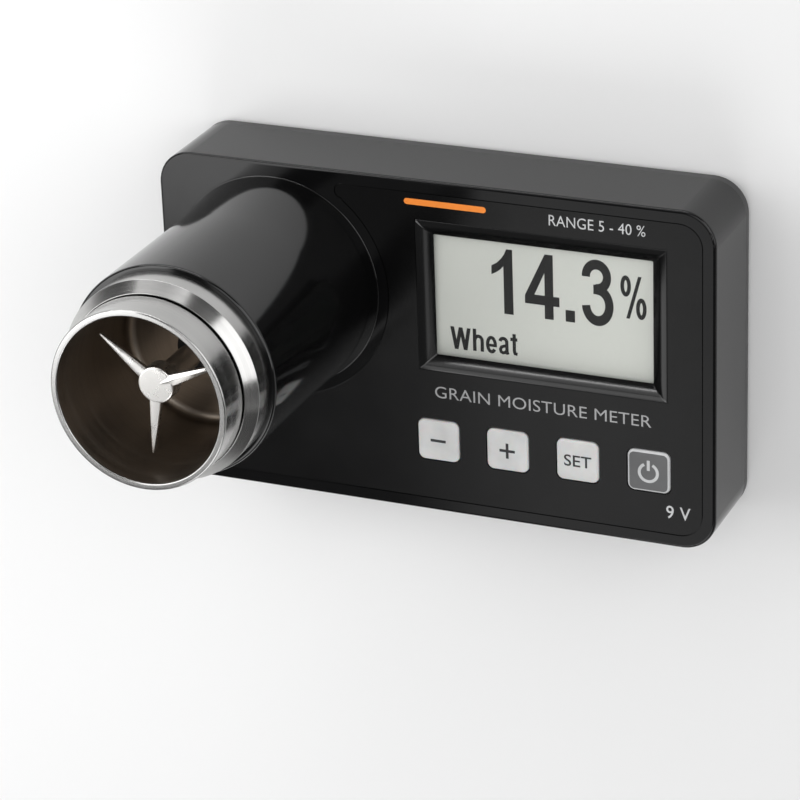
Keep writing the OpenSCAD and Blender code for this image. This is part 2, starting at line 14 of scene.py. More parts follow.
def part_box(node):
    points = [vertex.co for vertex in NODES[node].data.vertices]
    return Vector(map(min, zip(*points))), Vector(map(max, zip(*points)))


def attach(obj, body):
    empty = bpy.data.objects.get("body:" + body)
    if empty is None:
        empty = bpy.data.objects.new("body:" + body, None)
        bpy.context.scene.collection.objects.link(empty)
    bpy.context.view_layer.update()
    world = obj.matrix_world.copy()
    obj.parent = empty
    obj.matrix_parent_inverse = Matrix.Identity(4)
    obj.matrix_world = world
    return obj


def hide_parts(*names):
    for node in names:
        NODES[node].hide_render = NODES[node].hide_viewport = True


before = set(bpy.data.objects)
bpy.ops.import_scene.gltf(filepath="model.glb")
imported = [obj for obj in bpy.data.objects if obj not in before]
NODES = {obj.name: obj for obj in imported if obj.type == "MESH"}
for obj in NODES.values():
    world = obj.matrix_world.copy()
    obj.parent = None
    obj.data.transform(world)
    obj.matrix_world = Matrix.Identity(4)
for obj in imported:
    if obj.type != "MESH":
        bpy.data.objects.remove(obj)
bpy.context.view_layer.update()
MM = 0.001
BODY = "meter_body"
ROTOR = "mill_rotor"


def low(node):
    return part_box(node)[0] / MM


def high(node):
    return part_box(node)[1] / MM


def middle(node):
    return (low(node) + high(node)) / 2


AXIS = middle("grain_cup")
FACE = high("front_housing").z
RIM = high("cup_tower").z
MOUTH = high("grain_cup").z
CUP_DEPTH = 38.0
FLOOR = MOUTH - CUP_DEPTH
WINDOW_TOP = high("lcd_window").z
PANEL_TOP = high("lcd_panel").z
FOIL_TOP = high("overlay_foil").z
BLADE_TOP = high("mill_blade").z


# ---------------------------------------------------------------- materials


class Shader:
    """A material with one Principled shader, and short calls for the nodes behind it."""

    def __init__(self, name, colour, metallic=0.0, roughness=0.4, **sockets):
        self.mat = bpy.data.materials.new(name)
        self.mat.use_nodes = True
        self.tree = self.mat.node_tree
        self.bsdf = self.tree.nodes["Principled BSDF"]
        self.last_bump = None
        self.bsdf.inputs["Base Color"].default_value = (*colour, 1)
        self.bsdf.inputs["Metallic"].default_value = metallic
        self.bsdf.inputs["Roughness"].default_value = roughness
        for key, value in sockets.items():
            self.bsdf.inputs[key.replace("_", " ")].default_value = value
        self.place = self.add("ShaderNodeTexCoord").outputs["Object"]

    def add(self, kind, **settings):
        node = self.tree.nodes.new(kind)
        for key, value in settings.items():
            setattr(node, key, value)
        return node

    def link(self, a, b):
        self.tree.links.new(a, b)

    def maths(self, operation, *values):
        node = self.add("ShaderNodeMath", operation=operation)
        for socket, value in zip(node.inputs, values):
            if isinstance(value, (int, float)):
                socket.default_value = value
            else:
                self.link(value, socket)
        return node.outputs[0]

    def stretch(self, x, y, z):
        """The place, scaled by a different number along each axis."""
        node = self.add("ShaderNodeMapping")
        node.inputs["Scale"].default_value = (x, y, z)
        self.link(self.place, node.inputs["Vector"])
        return node.outputs[0]

    def rings(self, radial, upright):
        """A place that only changes with the distance from the piece's own axis and with height."""
        split = self.add("ShaderNodeSeparateXYZ")
        self.link(self.place, split.inputs[0])
        x2 = self.maths("MULTIPLY", split.outputs[0], split.outputs[0])
        y2 = self.maths("MULTIPLY", split.outputs[1], split.outputs[1])
        r = self.maths("SQRT", self.maths("ADD", x2, y2))
        join = self.add("ShaderNodeCombineXYZ")
        self.link(self.maths("MULTIPLY", r, radial), join.inputs[0])
        self.link(self.maths("MULTIPLY", split.outputs[2], upright), join.inputs[1])
        return join.outputs[0]

    def noise(self, place, scale, detail=3.0, rough=0.55):
        node = self.add("ShaderNodeTexNoise")
        node.inputs["Scale"].default_value = scale
        node.inputs["Detail"].default_value = detail
        node.inputs["Roughness"].default_value = rough
        self.link(place, node.inputs["Vector"])
        return node.outputs[0]

    def between(self, value, a, b, start=0.3, end=0.7):
        node = self.add("ShaderNodeMapRange")
        self.link(value, node.inputs["Value"])
        for key, number in (("From Min", start), ("From Max", end), ("To Min", a), ("To Max", b)):
            node.inputs[key].default_value = number
        return node.outputs[0]

    def vary_roughness(self, value, a, b):
        self.link(self.between(value, a, b), self.bsdf.inputs["Roughness"])

    def vary_colour(self, value, a, b):
        mix = self.add("ShaderNodeMix", data_type="RGBA")
        self.link(self.between(value, 0.0, 1.0), mix.inputs[0])
        mix.inputs[6].default_value = (*a, 1)
        mix.inputs[7].default_value = (*b, 1)
        self.link(mix.outputs[2], self.bsdf.inputs["Base Color"])

    def bump(self, value, depth):
        """Raises the surface by up to depth metres, on top of the bumps added before."""
        node = self.add("ShaderNodeBump")
        node.inputs["Strength"].default_value = 1.0
        node.inputs["Distance"].default_value = depth
        self.link(value, node.inputs["Height"])
        if self.last_bump is not None:
            self.link(self.last_bump, node.inputs["Normal"])
        self.last_bump = node.outputs[0]
        self.link(node.outputs[0], self.bsdf.inputs["Normal"])


def shade(colour, k):
    """A colour made k times as bright."""
    return tuple(min(1.0, c * k) for c in colour)


def moulded(name, colour, rough, spread=0.05, grain=2600, depth=4e-6, **sockets):
    """Moulded plastic: fine spark grain, slow changes of gloss, and a trace of mottling."""
    s = Shader(name, colour, roughness=rough, **sockets)
    slow = s.noise(s.place, 45, 4)
    s.vary_roughness(slow, rough - spread / 2, rough + spread / 2)
    s.vary_colour(s.noise(s.place, 140, 3), shade(colour, 0.92), shade(colour, 1.08))
    s.bump(s.noise(s.place, grain, 2), depth)
    return s.mat


def turned(name, colour, rough, groove=4200, depth=4e-7, spread=0.06, anisotropy=0.5):
    """Metal turned on a lathe: fine grooves round the piece's axis, with slow bands of polish."""
    s = Shader(name, colour, metallic=1.0, roughness=rough, Anisotropic=anisotropy)
    s.bsdf.inputs["Anisotropic Rotation"].default_value = 0.25
    tangent = s.add("ShaderNodeTangent", direction_type="RADIAL", axis="Z")
    s.link(tangent.outputs[0], s.bsdf.inputs["Tangent"])
    lines = s.noise(s.rings(groove, groove), 1.0, 2, 0.5)
    bands = s.noise(s.rings(420, 420), 1.0, 2)
    s.vary_roughness(bands, rough - spread / 2, rough + spread / 2)
    s.vary_colour(lines, shade(colour, 0.93), shade(colour, 1.05))
    s.bump(lines, depth)
    s.bump(s.noise(s.place, 160, 2), 2e-6)
    return s.mat


def plated(name, colour, rough, grain=1800, depth=2e-6):
    """Plated, ground or drawn metal with a faint grain."""
    s = Shader(name, colour, metallic=1.0, roughness=rough)
    s.vary_roughness(s.noise(s.place, 220, 3), rough * 0.75, rough * 1.3)
    s.vary_colour(s.noise(s.place, 90, 3), shade(colour, 0.9), shade(colour, 1.04))
    s.bump(s.noise(s.stretch(1, 1, 4), grain, 3), depth)
    return s.mat


def film():
    """Printed polyester film on the face: satin, with a fine matt texture and slight waviness."""
    colour = (0.0022, 0.0022, 0.0023)
    s = Shader("printed_film", colour, roughness=0.19, Specular_IOR_Level=0.36)
    s.vary_roughness(s.noise(s.place, 60, 3), 0.17, 0.21)
    s.vary_colour(s.noise(s.place, 900, 3), shade(colour, 0.85), shade(colour, 1.15))
    s.bump(s.noise(s.place, 40, 1), 8e-6)
    s.bump(s.noise(s.place, 5200, 2), 3e-6)
    return s.mat


def polished():
    """The blade: ground and polished, with fine scratches along it and rubbed spots."""
    colour = (0.74, 0.728, 0.705)
    s = Shader("polished_blade", colour, metallic=1.0, roughness=0.28)
    scratches = s.noise(s.stretch(1, 7, 1), 2400, 3, 0.6)
    s.vary_roughness(s.noise(s.place, 380, 3), 0.24, 0.34)
    s.vary_colour(scratches, shade(colour, 0.95), shade(colour, 1.03))
    s.bump(scratches, 4e-7)
    s.bump(s.noise(s.place, 300, 2), 3e-6)
    return s.mat


def rubber(name, colour):
    """Matt rubber with a rough skin."""
    s = Shader(name, colour, roughness=0.85)
    s.vary_roughness(s.noise(s.place, 160, 3), 0.78, 0.92)
    s.vary_colour(s.noise(s.place, 300, 4), shade(colour, 0.8), shade(colour, 1.3))
    s.bump(s.noise(s.place, 1500, 4), 2.5e-5)
    return s.mat


def display():
    """Reflective display: pale film with a trace of grain."""
    colour = (0.735, 0.755, 0.70)
    s = Shader("display_film", colour, roughness=0.55)
    s.vary_colour(s.noise(s.place, 2200, 2), shade(colour, 0.975), shade(colour, 1.02))
    s.vary_roughness(s.noise(s.place, 80, 2), 0.5, 0.6)
    s.bump(s.noise(s.place, 3800, 1), 2e-6)
    return s.mat


def window():
    """Clear acrylic window, almost only seen by what it reflects."""
    s = Shader("clear_window", (0.03, 0.034, 0.032), roughness=0.05, Alpha=0.04, IOR=1.49,
               Specular_IOR_Level=1.0)
    s.vary_roughness(s.noise(s.place, 120, 2), 0.03, 0.07)
    s.vary_colour(s.noise(s.place, 60, 2), (0.028, 0.032, 0.03), (0.032, 0.036, 0.034))
    return s.mat


def board_mask():
    """Solder mask with the faint relief of the tracks below it."""
    colour = (0.012, 0.13, 0.045)
    s = Shader("solder_mask", colour, roughness=0.32)
    cells = s.add("ShaderNodeTexVoronoi", feature="F1", distance="MANHATTAN")
    cells.inputs["Scale"].default_value = 420
    s.link(s.place, cells.inputs["Vector"])
    s.vary_colour(cells.outputs["Distance"], shade(colour, 0.8), shade(colour, 1.5))
    s.vary_roughness(s.noise(s.place, 300, 2), 0.27, 0.4)
    s.bump(cells.outputs["Distance"], 1.5e-5)
    return s.mat


MAT = {
    "housing": moulded("housing_black", (0.0035, 0.0035, 0.0037), 0.13, 0.04, depth=8e-7,
                       Specular_IOR_Level=0.33),
    "tower": moulded("tower_black", (0.003, 0.003, 0.0031), 0.105, 0.02, depth=4e-7),
    "cover": moulded("cover_black", (0.013, 0.013, 0.0135), 0.34, 0.06, 2200, 1.2e-5),
    "bezel": moulded("bezel_black", (0.0045, 0.0045, 0.0047), 0.17, 0.03, depth=6e-7,
                     Specular_IOR_Level=0.6),
    "film": film(),
    "rubber": rubber("foot_rubber", (0.022, 0.022, 0.022)),
    "gasket": rubber("gasket_rubber", (0.015, 0.015, 0.015)),
    "cup": turned("cup_steel", (0.45, 0.447, 0.44), 0.19, anisotropy=0.35),
    # Inside of the cup: the cup's own steel made darker and browner. This is painted shade of the
    # hollow and a painted reflection of grain that the scene leaves out.
    "inside": turned("cup_inside_painted_shade", (0.27, 0.232, 0.195), 0.36, 3000, 6e-7, 0.1, 0.35),
    "ring": turned("ring_steel", (0.46, 0.457, 0.45), 0.2, 3600, anisotropy=0.35),
    "blade": polished(),
    "shaft": plated("shaft_steel", (0.74, 0.735, 0.72), 0.22),
    "screw": plated("screw_steel", (0.60, 0.60, 0.59), 0.3),
    "gear": plated("gearbox_steel", (0.62, 0.61, 0.60), 0.34, 1200, 6e-6),
    "aluminium": plated("bracket_aluminium", (0.78, 0.78, 0.79), 0.36, 1500, 5e-6),
    "brass": plated("coupling_brass", (0.76, 0.56, 0.24), 0.28),
    "bronze": plated("bush_bronze", (0.60, 0.38, 0.18), 0.42, 2600, 8e-6),
    "panel": display(),
    "window": window(),
    "ink": moulded("display_ink", (0.006, 0.006, 0.0055), 0.6, 0.06, 3200, 2e-6),
    "holder": moulded("holder_white", (0.80, 0.80, 0.78), 0.45),
    "board": board_mask(),
    "chip": moulded("chip_black", (0.02, 0.02, 0.021), 0.5, 0.1, 3000, 1e-5),
    "key": moulded("key_light", (0.63, 0.63, 0.625), 0.42, 0.06, 2400, 5e-6,
                   Subsurface_Weight=0.25, Subsurface_Scale=0.0012),
    "power": moulded("key_dark", (0.115, 0.116, 0.118), 0.38, 0.06, 2400, 3e-6),
    "symbol": moulded("symbol_black", (0.02, 0.02, 0.022), 0.45, 0.06, 3000, 2e-6),
    "print": moulded("print_grey", (0.37, 0.37, 0.375), 0.5, 0.08, 3000, 2e-6),
    "bright": moulded("print_light", (0.54, 0.545, 0.55), 0.5, 0.08, 3000, 2e-6),
    "accent": moulded("accent_orange", (0.93, 0.27, 0.035), 0.45, 0.06, 3000, 2e-6),
    "cell": moulded("cell_case", (0.02, 0.022, 0.026), 0.3, 0.08, 500, 6e-6),
    "snap": moulded("snap_black", (0.02, 0.02, 0.02), 0.55),
    "lead": moulded("lead_red", (0.42, 0.025, 0.02), 0.4, 0.06, 1800, 5e-6),
    "sensor": moulded("sensor_epoxy", (0.02, 0.02, 0.022), 0.3),
}

CAD_MATERIALS = {
    "housing": ["front_housing"],
    "cover": ["rear_cover", "battery_door", "tower_nut"],
    "film": ["overlay_foil"],
    "rubber": ["foot_rear_left", "foot_rear_right", "foot_front_left", "foot_front_right"],
    "gasket": ["cup_seal", "shaft_seal"],
    "window": ["lcd_window"],
    "panel": ["lcd_panel"],
    "holder": ["lcd_holder"],
    "board": ["main_board"],
    "chip": ["board_components", "key_switches"],
    "screw": ["housing_screws", "board_screws", "bracket_screws", "gearbox_screws"],
    "cell": ["battery_9v"],
    "snap": ["battery_snap"],
    "lead": ["battery_leads", "sensor_leads", "motor_leads"],
    "aluminium": ["motor_bracket"],
    "gear": ["gearbox", "motor_can"],
    "shaft": ["motor_shaft", "blade_shaft"],
    "brass": ["shaft_coupling", "shaft_contact"],
    "bronze": ["shaft_bush"],
    "sensor": ["temperature_sensor"],
}
for finish, names in CAD_MATERIALS.items():
    for name in names:
        mesh = NODES[name].data
        if not mesh.materials:
            mesh.materials.append(MAT[finish])
        for i in range(len(mesh.materials)):
            mesh.materials[i] = MAT[finish]


# ---------------------------------------------------------------- mesh code

MERGE = 1e-5  # points closer than this are one point
CAPITAL = 0.69  # height of a capital in the program's typeface at size 1


def piece(name, bm, material, body, at=(0, 0, 0), sharp=32, weighted=True, second=None):
    """Makes an object from a bmesh given in millimetres, and rides it on its body. Edges bent by
    more than sharp degrees stay sharp. Faces with material index 1 take the second material."""
    bmesh.ops.remove_doubles(bm, verts=bm.verts, dist=MERGE)
    bmesh.ops.recalc_face_normals(bm, faces=bm.faces)
    limit = math.radians(sharp)
    for face in bm.faces:
        face.smooth = True
    for edge in bm.edges:
        if len(edge.link_faces) == 2 and edge.calc_face_angle(0) > limit:
            edge.smooth = False
    bmesh.ops.scale(bm, vec=(MM, MM, MM), verts=bm.verts)
    mesh = bpy.data.meshes.new(name)
    bm.to_mesh(mesh)
    bm.free()
    mesh.materials.append(MAT[material])
    if second:
        mesh.materials.append(MAT[second])
    obj = bpy.data.objects.new(name, mesh)
    bpy.context.scene.collection.objects.link(obj)
    obj.location = Vector(at) * MM
    if weighted:
        normals = obj.modifiers.new("normals", "WEIGHTED_NORMAL")
        normals.keep_sharp = True
    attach(obj, body)
    return obj


def rounded(points, radii, steps=5):
    """A closed outline with each corner rolled to its radius."""
    out = []
    n = len(points)
    for i, (p, radius) in enumerate(zip(points, radii)):
        p = Vector(p)
        a = Vector(points[i - 1]) - p
        b = Vector(points[(i + 1) % n]) - p
        if radius <= 0 or a.length < 1e-6 or b.length < 1e-6:
            out.append(tuple(p))
            continue
        half = a.angle(b) / 2
        cut = min(radius / math.tan(half), a.length * 0.49, b.length * 0.49)
        radius = cut * math.tan(half)
        start, end = p + a.normalized() * cut, p + b.normalized() * cut
        centre = p + (a.normalized() + b.normalized()).normalized() * (radius / math.sin(half))
        u, v = start - centre, end - centre
        turn = math.atan2(u.x * v.y - u.y * v.x, u.dot(v))
        for k in range(steps + 1):
            t = turn * k / steps
            c, s = math.cos(t), math.sin(t)
            out.append((centre.x + u.x * c - u.y * s, centre.y + u.x * s + u.y * c))
    return out


def add_lathe(bm, outline, segments=192):
    """Turns a closed outline of (radius, height) round the Z axis."""
    loops = []
    for k in range(segments):
        a = 2 * math.pi * k / segments
        c, s = math.cos(a), math.sin(a)
        loops.append([bm.verts.new((r * c, r * s, z)) for r, z in outline])
    for k in range(segments):
        one, two = loops[k], loops[(k + 1) % segments]
        for i in range(len(outline)):
            j = (i + 1) % len(outline)
            bm.faces.new((one[i], two[i], two[j], one[j]))


def level(height, x, y):
    """A height that is given as a number, or as a function of the place."""
    return height(x, y) if callable(height) else height


def add_stack(bm, rings, close=False):
    """Skins a stack of rings with the same number of points. close joins the last to the first;
    otherwise both ends are filled."""
    loops = [[bm.verts.new(p) for p in ring] for ring in rings]
    count = len(loops[0])
    pairs = list(zip(loops, loops[1:])) + ([(loops[-1], loops[0])] if close else [])
    for one, two in pairs:
        for i in range(count):
            j = (i + 1) % count
            bm.faces.new((one[i], one[j], two[j], two[i]))
    if not close:
        bm.faces.new(list(reversed(loops[0])))
        bm.faces.new(loops[-1])


def square_ring(cx, cy, w, h, r, z, bend=8, side=8):
    """Points round a rounded rectangle, the same number whatever its size: bend steps round each
    corner and side steps along each side."""
    points = []
    corners = ((1, 1, 0), (-1, 1, 90), (-1, -1, 180), (1, -1, 270))
    for sx, sy, start in corners:
        for k in range(bend + 1):
            a = math.radians(start + 90 * k / bend)
            points.append((cx + sx * (w / 2 - r) + r * math.cos(a),
                           cy + sy * (h / 2 - r) + r * math.sin(a)))
    out = []
    for i, p in enumerate(points):
        out.append((*p, level(z, *p)))
        if i % (bend + 1) == bend:
            q = points[(i + 1) % len(points)]
            for k in range(1, side):
                m = (p[0] + (q[0] - p[0]) * k / side, p[1] + (q[1] - p[1]) * k / side)
                out.append((*m, level(z, *m)))
    return out


def add_prism(bm, outline, bottom, top):
    """A closed slab over an outline."""
    lower = [bm.verts.new((x, y, level(bottom, x, y))) for x, y in outline]
    upper = [bm.verts.new((x, y, level(top, x, y))) for x, y in outline]
    n = len(outline)
    for i in range(n):
        j = (i + 1) % n
        bm.faces.new((lower[i], lower[j], upper[j], upper[i]))
    bm.faces.new(upper)
    bm.faces.new(list(reversed(lower)))


def add_stroke(bm, points, width, bottom, top, closed=False, tall=1.0):
    """A flat line of the given width along points, as one closed strip. Where it runs across,
    it is tall times as thick."""
    path = [Vector((x, y / tall)) for x, y in points]
    n = len(path)
    rings = []
    for i in range(n):
        before = path[i] - path[i - 1] if (i > 0 or closed) else path[1] - path[0]
        after = path[(i + 1) % n] - path[i] if (i < n - 1 or closed) else path[-1] - path[-2]
        along = (before.normalized() + after.normalized()).normalized()
        across = Vector((-along.y, along.x))
        side = Vector((-before.y, before.x)).normalized()
        reach = across * (width / 2 / max(0.5, across.dot(side)))
        left, right = (Vector((p.x, p.y * tall)) for p in (path[i] + reach, path[i] - reach))
        corners = ((right, bottom), (left, bottom), (left, top), (right, top))
        rings.append([(p.x, p.y, level(height, p.x, p.y)) for p, height in corners])
    add_stack(bm, rings, close=closed)


def arc(cx, cy, rx, ry, start, end, steps=24):
    """Points along part of an ellipse, between two angles in degrees."""
    out = []
    for k in range(steps + 1):
        a = math.radians(start + (end - start) * k / steps)
        out.append((cx + rx * math.cos(a), cy + ry * math.sin(a)))
    return out


def line(a, b, steps=1):
    """Points along a straight line, both ends included."""
    return [(a[0] + (b[0] - a[0]) * k / steps, a[1] + (b[1] - a[1]) * k / steps)
            for k in range(steps + 1)]


def add_slab(bm, flat, bottom, top):
    """Thickens a flat mesh into closed slabs."""
    lower, upper = {}, {}
    for v in flat.verts:
        x, y = v.co.x, v.co.y
        lower[v.index] = bm.verts.new((x, y, level(bottom, x, y)))
        upper[v.index] = bm.verts.new((x, y, level(top, x, y)))
    for f in flat.faces:
        bm.faces.new([upper[v.index] for v in f.verts])
        bm.faces.new([lower[v.index] for v in reversed(f.verts)])
    for e in flat.edges:
        if len(e.link_faces) == 1:
            a, b = (v.index for v in e.verts)
            bm.faces.new((lower[a], lower[b], upper[b], upper[a]))


def filled(curve):
    """The filled shape of a flat curve, as a bmesh."""
    holder = bpy.data.objects.new("shape", curve)
    bpy.context.scene.collection.objects.link(holder)
    bpy.context.view_layer.update()
    graph = bpy.context.evaluated_depsgraph_get()
    mesh = bpy.data.meshes.new_from_object(holder.evaluated_get(graph))
    bpy.data.objects.remove(holder)
    bpy.data.curves.remove(curve)
    flat = bmesh.new()
    flat.from_mesh(mesh)
    bpy.data.meshes.remove(mesh)
    bmesh.ops.remove_doubles(flat, verts=flat.verts, dist=MERGE)
    flat.verts.index_update()
    return flat


def add_shape(bm, loops, bottom, top):
    """A slab over an outline with holes: loops holds the outline, then each hole."""
    curve = bpy.data.curves.new("shape", "CURVE")
    curve.dimensions = "2D"
    curve.fill_mode = "BOTH"
    for loop in loops:
        spline = curve.splines.new("POLY")
        spline.points.add(len(loop) - 1)
        for point, (x, y) in zip(spline.points, loop):
            point.co = (x, y, 0, 1)
        spline.use_cyclic_u = True
    flat = filled(curve)
    add_slab(bm, flat, bottom, top)
    flat.free()


def add_text(bm, words, left, base, width, height, bottom, top, weight=0.0, spacing=1.0):
    """Plain lettering in the program's own typeface, fitted to a width and a capital height."""
    curve = bpy.data.curves.new("words", "FONT")
    curve.body = words
    curve.size = 1
    curve.offset = weight
    curve.space_character = spacing
    curve.resolution_u = 5
    flat = filled(curve)
    xs = [v.co.x for v in flat.verts]
    sx, sy = width / (max(xs) - min(xs)), height / (CAPITAL + 2 * weight)
    start = min(xs)
    for v in flat.verts:
        v.co = ((v.co.x - start) * sx + left, (v.co.y + weight) * sy + base, 0)
    add_slab(bm, flat, bottom, top)
    flat.free()


# ---------------------------------------------------------------- tower, cup and ring

axis_at = (AXIS.x, AXIS.y, 0)

# Tower: the spigot below the face, the land and flare at its foot, and the bore
spigot_bore_r, spigot_r, spigot_depth = 21.6, 23.6, 7
foot_r, base_r, rim_r = 28.75, 27.5, 27.65
land_w, land_h, flare_h = 0.25, 0.3, 24.0
mouth_r, tower_bore_r = 25.0, 23.8
gasket_low = 79.2
tower_floor = FACE + 2.4

flare_r = foot_r - land_w
flare_out = flare_r - base_r
sweep = (flare_h ** 2 + flare_out ** 2) / (2 * flare_out)
flare_steps = 24
flare = []
for k in range(flare_steps + 1):
    a = math.asin(flare_h / sweep) * (1 - k / flare_steps)
    flare.append((base_r + sweep * (1 - math.cos(a)), FACE + land_h + flare_h - sweep * math.sin(a)))

roll_r, roll_low = 0.2, 0.1
roll = [(foot_r - roll_r + roll_r * math.cos(a), FACE + roll_low + roll_r * math.sin(a))
        for a in (math.radians(18 * k) for k in range(6))]

tower_outline = (
    [(spigot_bore_r, FACE - spigot_depth), (spigot_r, FACE - spigot_depth), (spigot_r, FACE),
     (foot_r, FACE)]
    + roll + flare
    + rounded([flare[-1], (rim_r, RIM), (mouth_r, RIM), (mouth_r, gasket_low)],
              [0, 0.9, 0.35, 0.1])[1:]
    + [(tower_bore_r, gasket_low), (tower_bore_r, tower_floor), (spigot_bore_r, tower_floor)]
)
bm = bmesh.new()
add_lathe(bm, tower_outline)
tower = piece("tower_shell", bm, "tower", BODY, axis_at)
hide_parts("cup_tower")

# Cup: the floor with its hole for the bush, the clamped flange and the collar at the mouth
bush_hole_r, bore_r, body_r, collar_r, flange_r = 6.05, 21.6, 22.9, 23.3, 24.85
cup_low, collar_low = FLOOR - 3.5, MOUTH - 9.2
flange_low, flange_high = RIM - 8.1, RIM - 6.1
cup_outline = rounded(
    [(bush_hole_r, cup_low), (body_r, cup_low), (body_r, flange_low), (flange_r, flange_low),
     (flange_r, flange_high), (body_r, flange_high), (body_r, collar_low), (collar_r, collar_low),
     (collar_r, MOUTH), (bore_r, MOUTH), (bore_r, FLOOR), (bush_hole_r, FLOOR)],
    [0, 0.3, 0, 0.2, 0.2, 0, 0, 0.12, 0.45, 0.35, 2.5, 0], 6)
bm = bmesh.new()
add_lathe(bm, cup_outline)
# The bore's wall and floor take the darker, browner steel: painted shade inside the cup and a painted
# reflection of grain.
for face in bm.faces:
    c = face.calc_center_median()
    if FLOOR - 0.2 < c.z < MOUTH - 0.4 and math.hypot(c.x, c.y) < bore_r + 0.05:
        face.material_index = 1
cup = piece("cup_wall", bm, "cup", BODY, axis_at, second="inside")
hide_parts("grain_cup")

# Ring: a spigot in the tower's mouth, a band above its rim and a chamfer up to the cup
ring_bore_r, ring_top_r, ring_spigot_r, ring_r = 23.45, 23.62, 24.9, 26.15
ring_low, band_high, ring_high = RIM - 6.05, RIM + 5.65, MOUTH - 9.95
ring_outline = rounded(
    [(ring_bore_r, ring_low), (ring_spigot_r, ring_low), (ring_spigot_r, RIM), (ring_r, RIM),
     (ring_r, band_high), (ring_top_r, ring_high), (ring_bore_r, ring_high)],
    [0, 0.1, 0, 0.15, 0.22, 0.12, 0.05], 4)
bm = bmesh.new()
add_lathe(bm, ring_outline)
ring = piece("clamp_ring", bm, "ring", BODY, axis_at)
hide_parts("cup_ring")


# ---------------------------------------------------------------- blade


def arm_section(half, base, top, fold):
    """Points round an arm, as (across, height): bevelled edges, and a ridge of height fold."""
    bevel = 0.32 * half
    return [(-half * 0.7, base), (half * 0.7, base), (half, base + 0.35),
            (half, top - bevel * 0.7), (half - bevel * 0.4, top - bevel * 0.2), (half - bevel, top),
            (0.15 * half, top + fold), (-0.05 * half, top + fold * 0.9),
            (bevel - half, top - fold * 0.5),
            (bevel * 0.4 - half, top - fold * 0.6 - bevel * 0.25),
            (-half, top - fold * 0.7 - bevel * 0.7), (-half, base + 0.35)]


def blade_mesh():
    """Hub with a rolled edge and three tapering arms, one of them folded to a ridge."""
    bm = bmesh.new()
    hub_r, hub_low, hub_top = 4.8, BLADE_TOP - 4.9, BLADE_TOP - 0.28
    root, tip, steps = 0.8, 18.2, 28
    hub = [(0.01, hub_low), (hub_r, hub_low), (hub_r, hub_top), (0.01, hub_top)]
    add_lathe(bm, rounded(hub, [0, 0.3, 0.6, 0], 6), 72)
    for turn, folded in ((23, True), (141, False), (264, False)):
        a = math.radians(turn)
        out = Vector((math.cos(a), math.sin(a), 0))
        across = Vector((-math.sin(a), math.cos(a), 0))
        rings = []
        for k in range(steps + 1):
            t = k / steps
            d = root + (tip - root) * t
            half = 0.14 + 1.42 * min(1.1, (tip - d) / (tip - hub_r)) ** 0.8
            if folded:
                half *= min(1.0, d / 4.6)
            top = hub_top - 0.03 - 0.12 * t * t
            fold = 0.3 * min(1.0, 4 * t) if folded else 0.0
            section = arm_section(half, top - 2.0 + 0.9 * t, top, fold)
            rings.append([tuple(out * d + across * y + Vector((0, 0, z))) for y, z in section])
        add_stack(bm, rings)
    return bm


blade = piece("blade", blade_mesh(), "blade", ROTOR, axis_at, sharp=24)
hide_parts("mill_blade")


# ---------------------------------------------------------------- display

overlap, ledge = 1.0, 1.1
glass_c = middle("lcd_window")
glass_size = high("lcd_window") - low("lcd_window")
glass_w, glass_h = glass_size.x - 2 * overlap, glass_size.y - 2 * overlap
border = {"left": 3.2, "right": 4.6, "top": 4.75, "bottom": 2.8}
frame_c = (glass_c.x + (border["right"] - border["left"]) / 2,
           glass_c.y + (border["top"] - border["bottom"]) / 2)
frame_w = glass_w + border["left"] + border["right"] + 0.5
frame_h = glass_h + border["top"] + border["bottom"] + 0.5
bezel_top = FOIL_TOP - 0.01
bezel_low = WINDOW_TOP - 1
lip_z = WINDOW_TOP + 0.02
outer_r, inner_r = 0.45, 0.3
edge_steps, slope_steps = 4, 18


def bezel_ring(t, z, r):
    """A ring of the bezel: t is 0 at its outer edge and 1 at the glass."""
    mix = lambda a, b: a + (b - a) * t
    return square_ring(mix(frame_c[0], glass_c.x), mix(frame_c[1], glass_c.y),
                       mix(frame_w, glass_w), mix(frame_h, glass_h), r, z, 6, 6)


def slope(t):
    """Share of the frame's depth that its slope has dropped: gentle outside, steep at the glass."""
    return 0.52 * t + 0.48 * t ** 2.2


def ledge_ring(z):
    """A ring of the bezel's ledge, which lies on the window."""
    return square_ring(glass_c.x, glass_c.y, glass_w + 2 * ledge, glass_h + 2 * ledge, inner_r, z, 6, 6)


bm = bmesh.new()
rings = [bezel_ring(0, bezel_low, outer_r)]
for k in range(edge_steps + 1):
    a = math.radians(90 * k / edge_steps)
    rings.append(bezel_ring(0.03 * (1 - math.cos(a)), bezel_top - 0.15 * (1 - math.sin(a)), outer_r))
for k in range(slope_steps + 1):
    t = k / slope_steps
    z = bezel_top - (bezel_top - WINDOW_TOP - 0.06) * slope(t)
    rings.append(bezel_ring(0.04 + 0.96 * t, z, outer_r + (inner_r - outer_r) * t))
rings += [bezel_ring(1, lip_z, inner_r), ledge_ring(lip_z), ledge_ring(bezel_low)]
add_stack(bm, rings, close=True)
bezel = piece("display_bezel", bm, "bezel", BODY, sharp=28)
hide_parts("lcd_bezel")

# Where two strokes of one character cross, the second stands higher by STEP
ink_low, ink_top = PANEL_TOP, PANEL_TOP + 0.03
STEP = 0.002
DIGIT_TALL, SIGN_TALL, LETTER_TALL = 1.22, 1.2, 1.05


def leg(bm, x_top, x_low, y_top, y_low, half, top):
    """A slanting bar with level ends."""
    outline = [(x_low - half, y_low), (x_low + half, y_low), (x_top + half, y_top),
               (x_top - half, y_top)]
    add_prism(bm, outline, ink_low, top)


def oblong(x0, y0, x1, y1):
    """Outline of an upright rectangle between two corners."""
    return [(x0, y0), (x1, y0), (x1, y1), (x0, y1)]


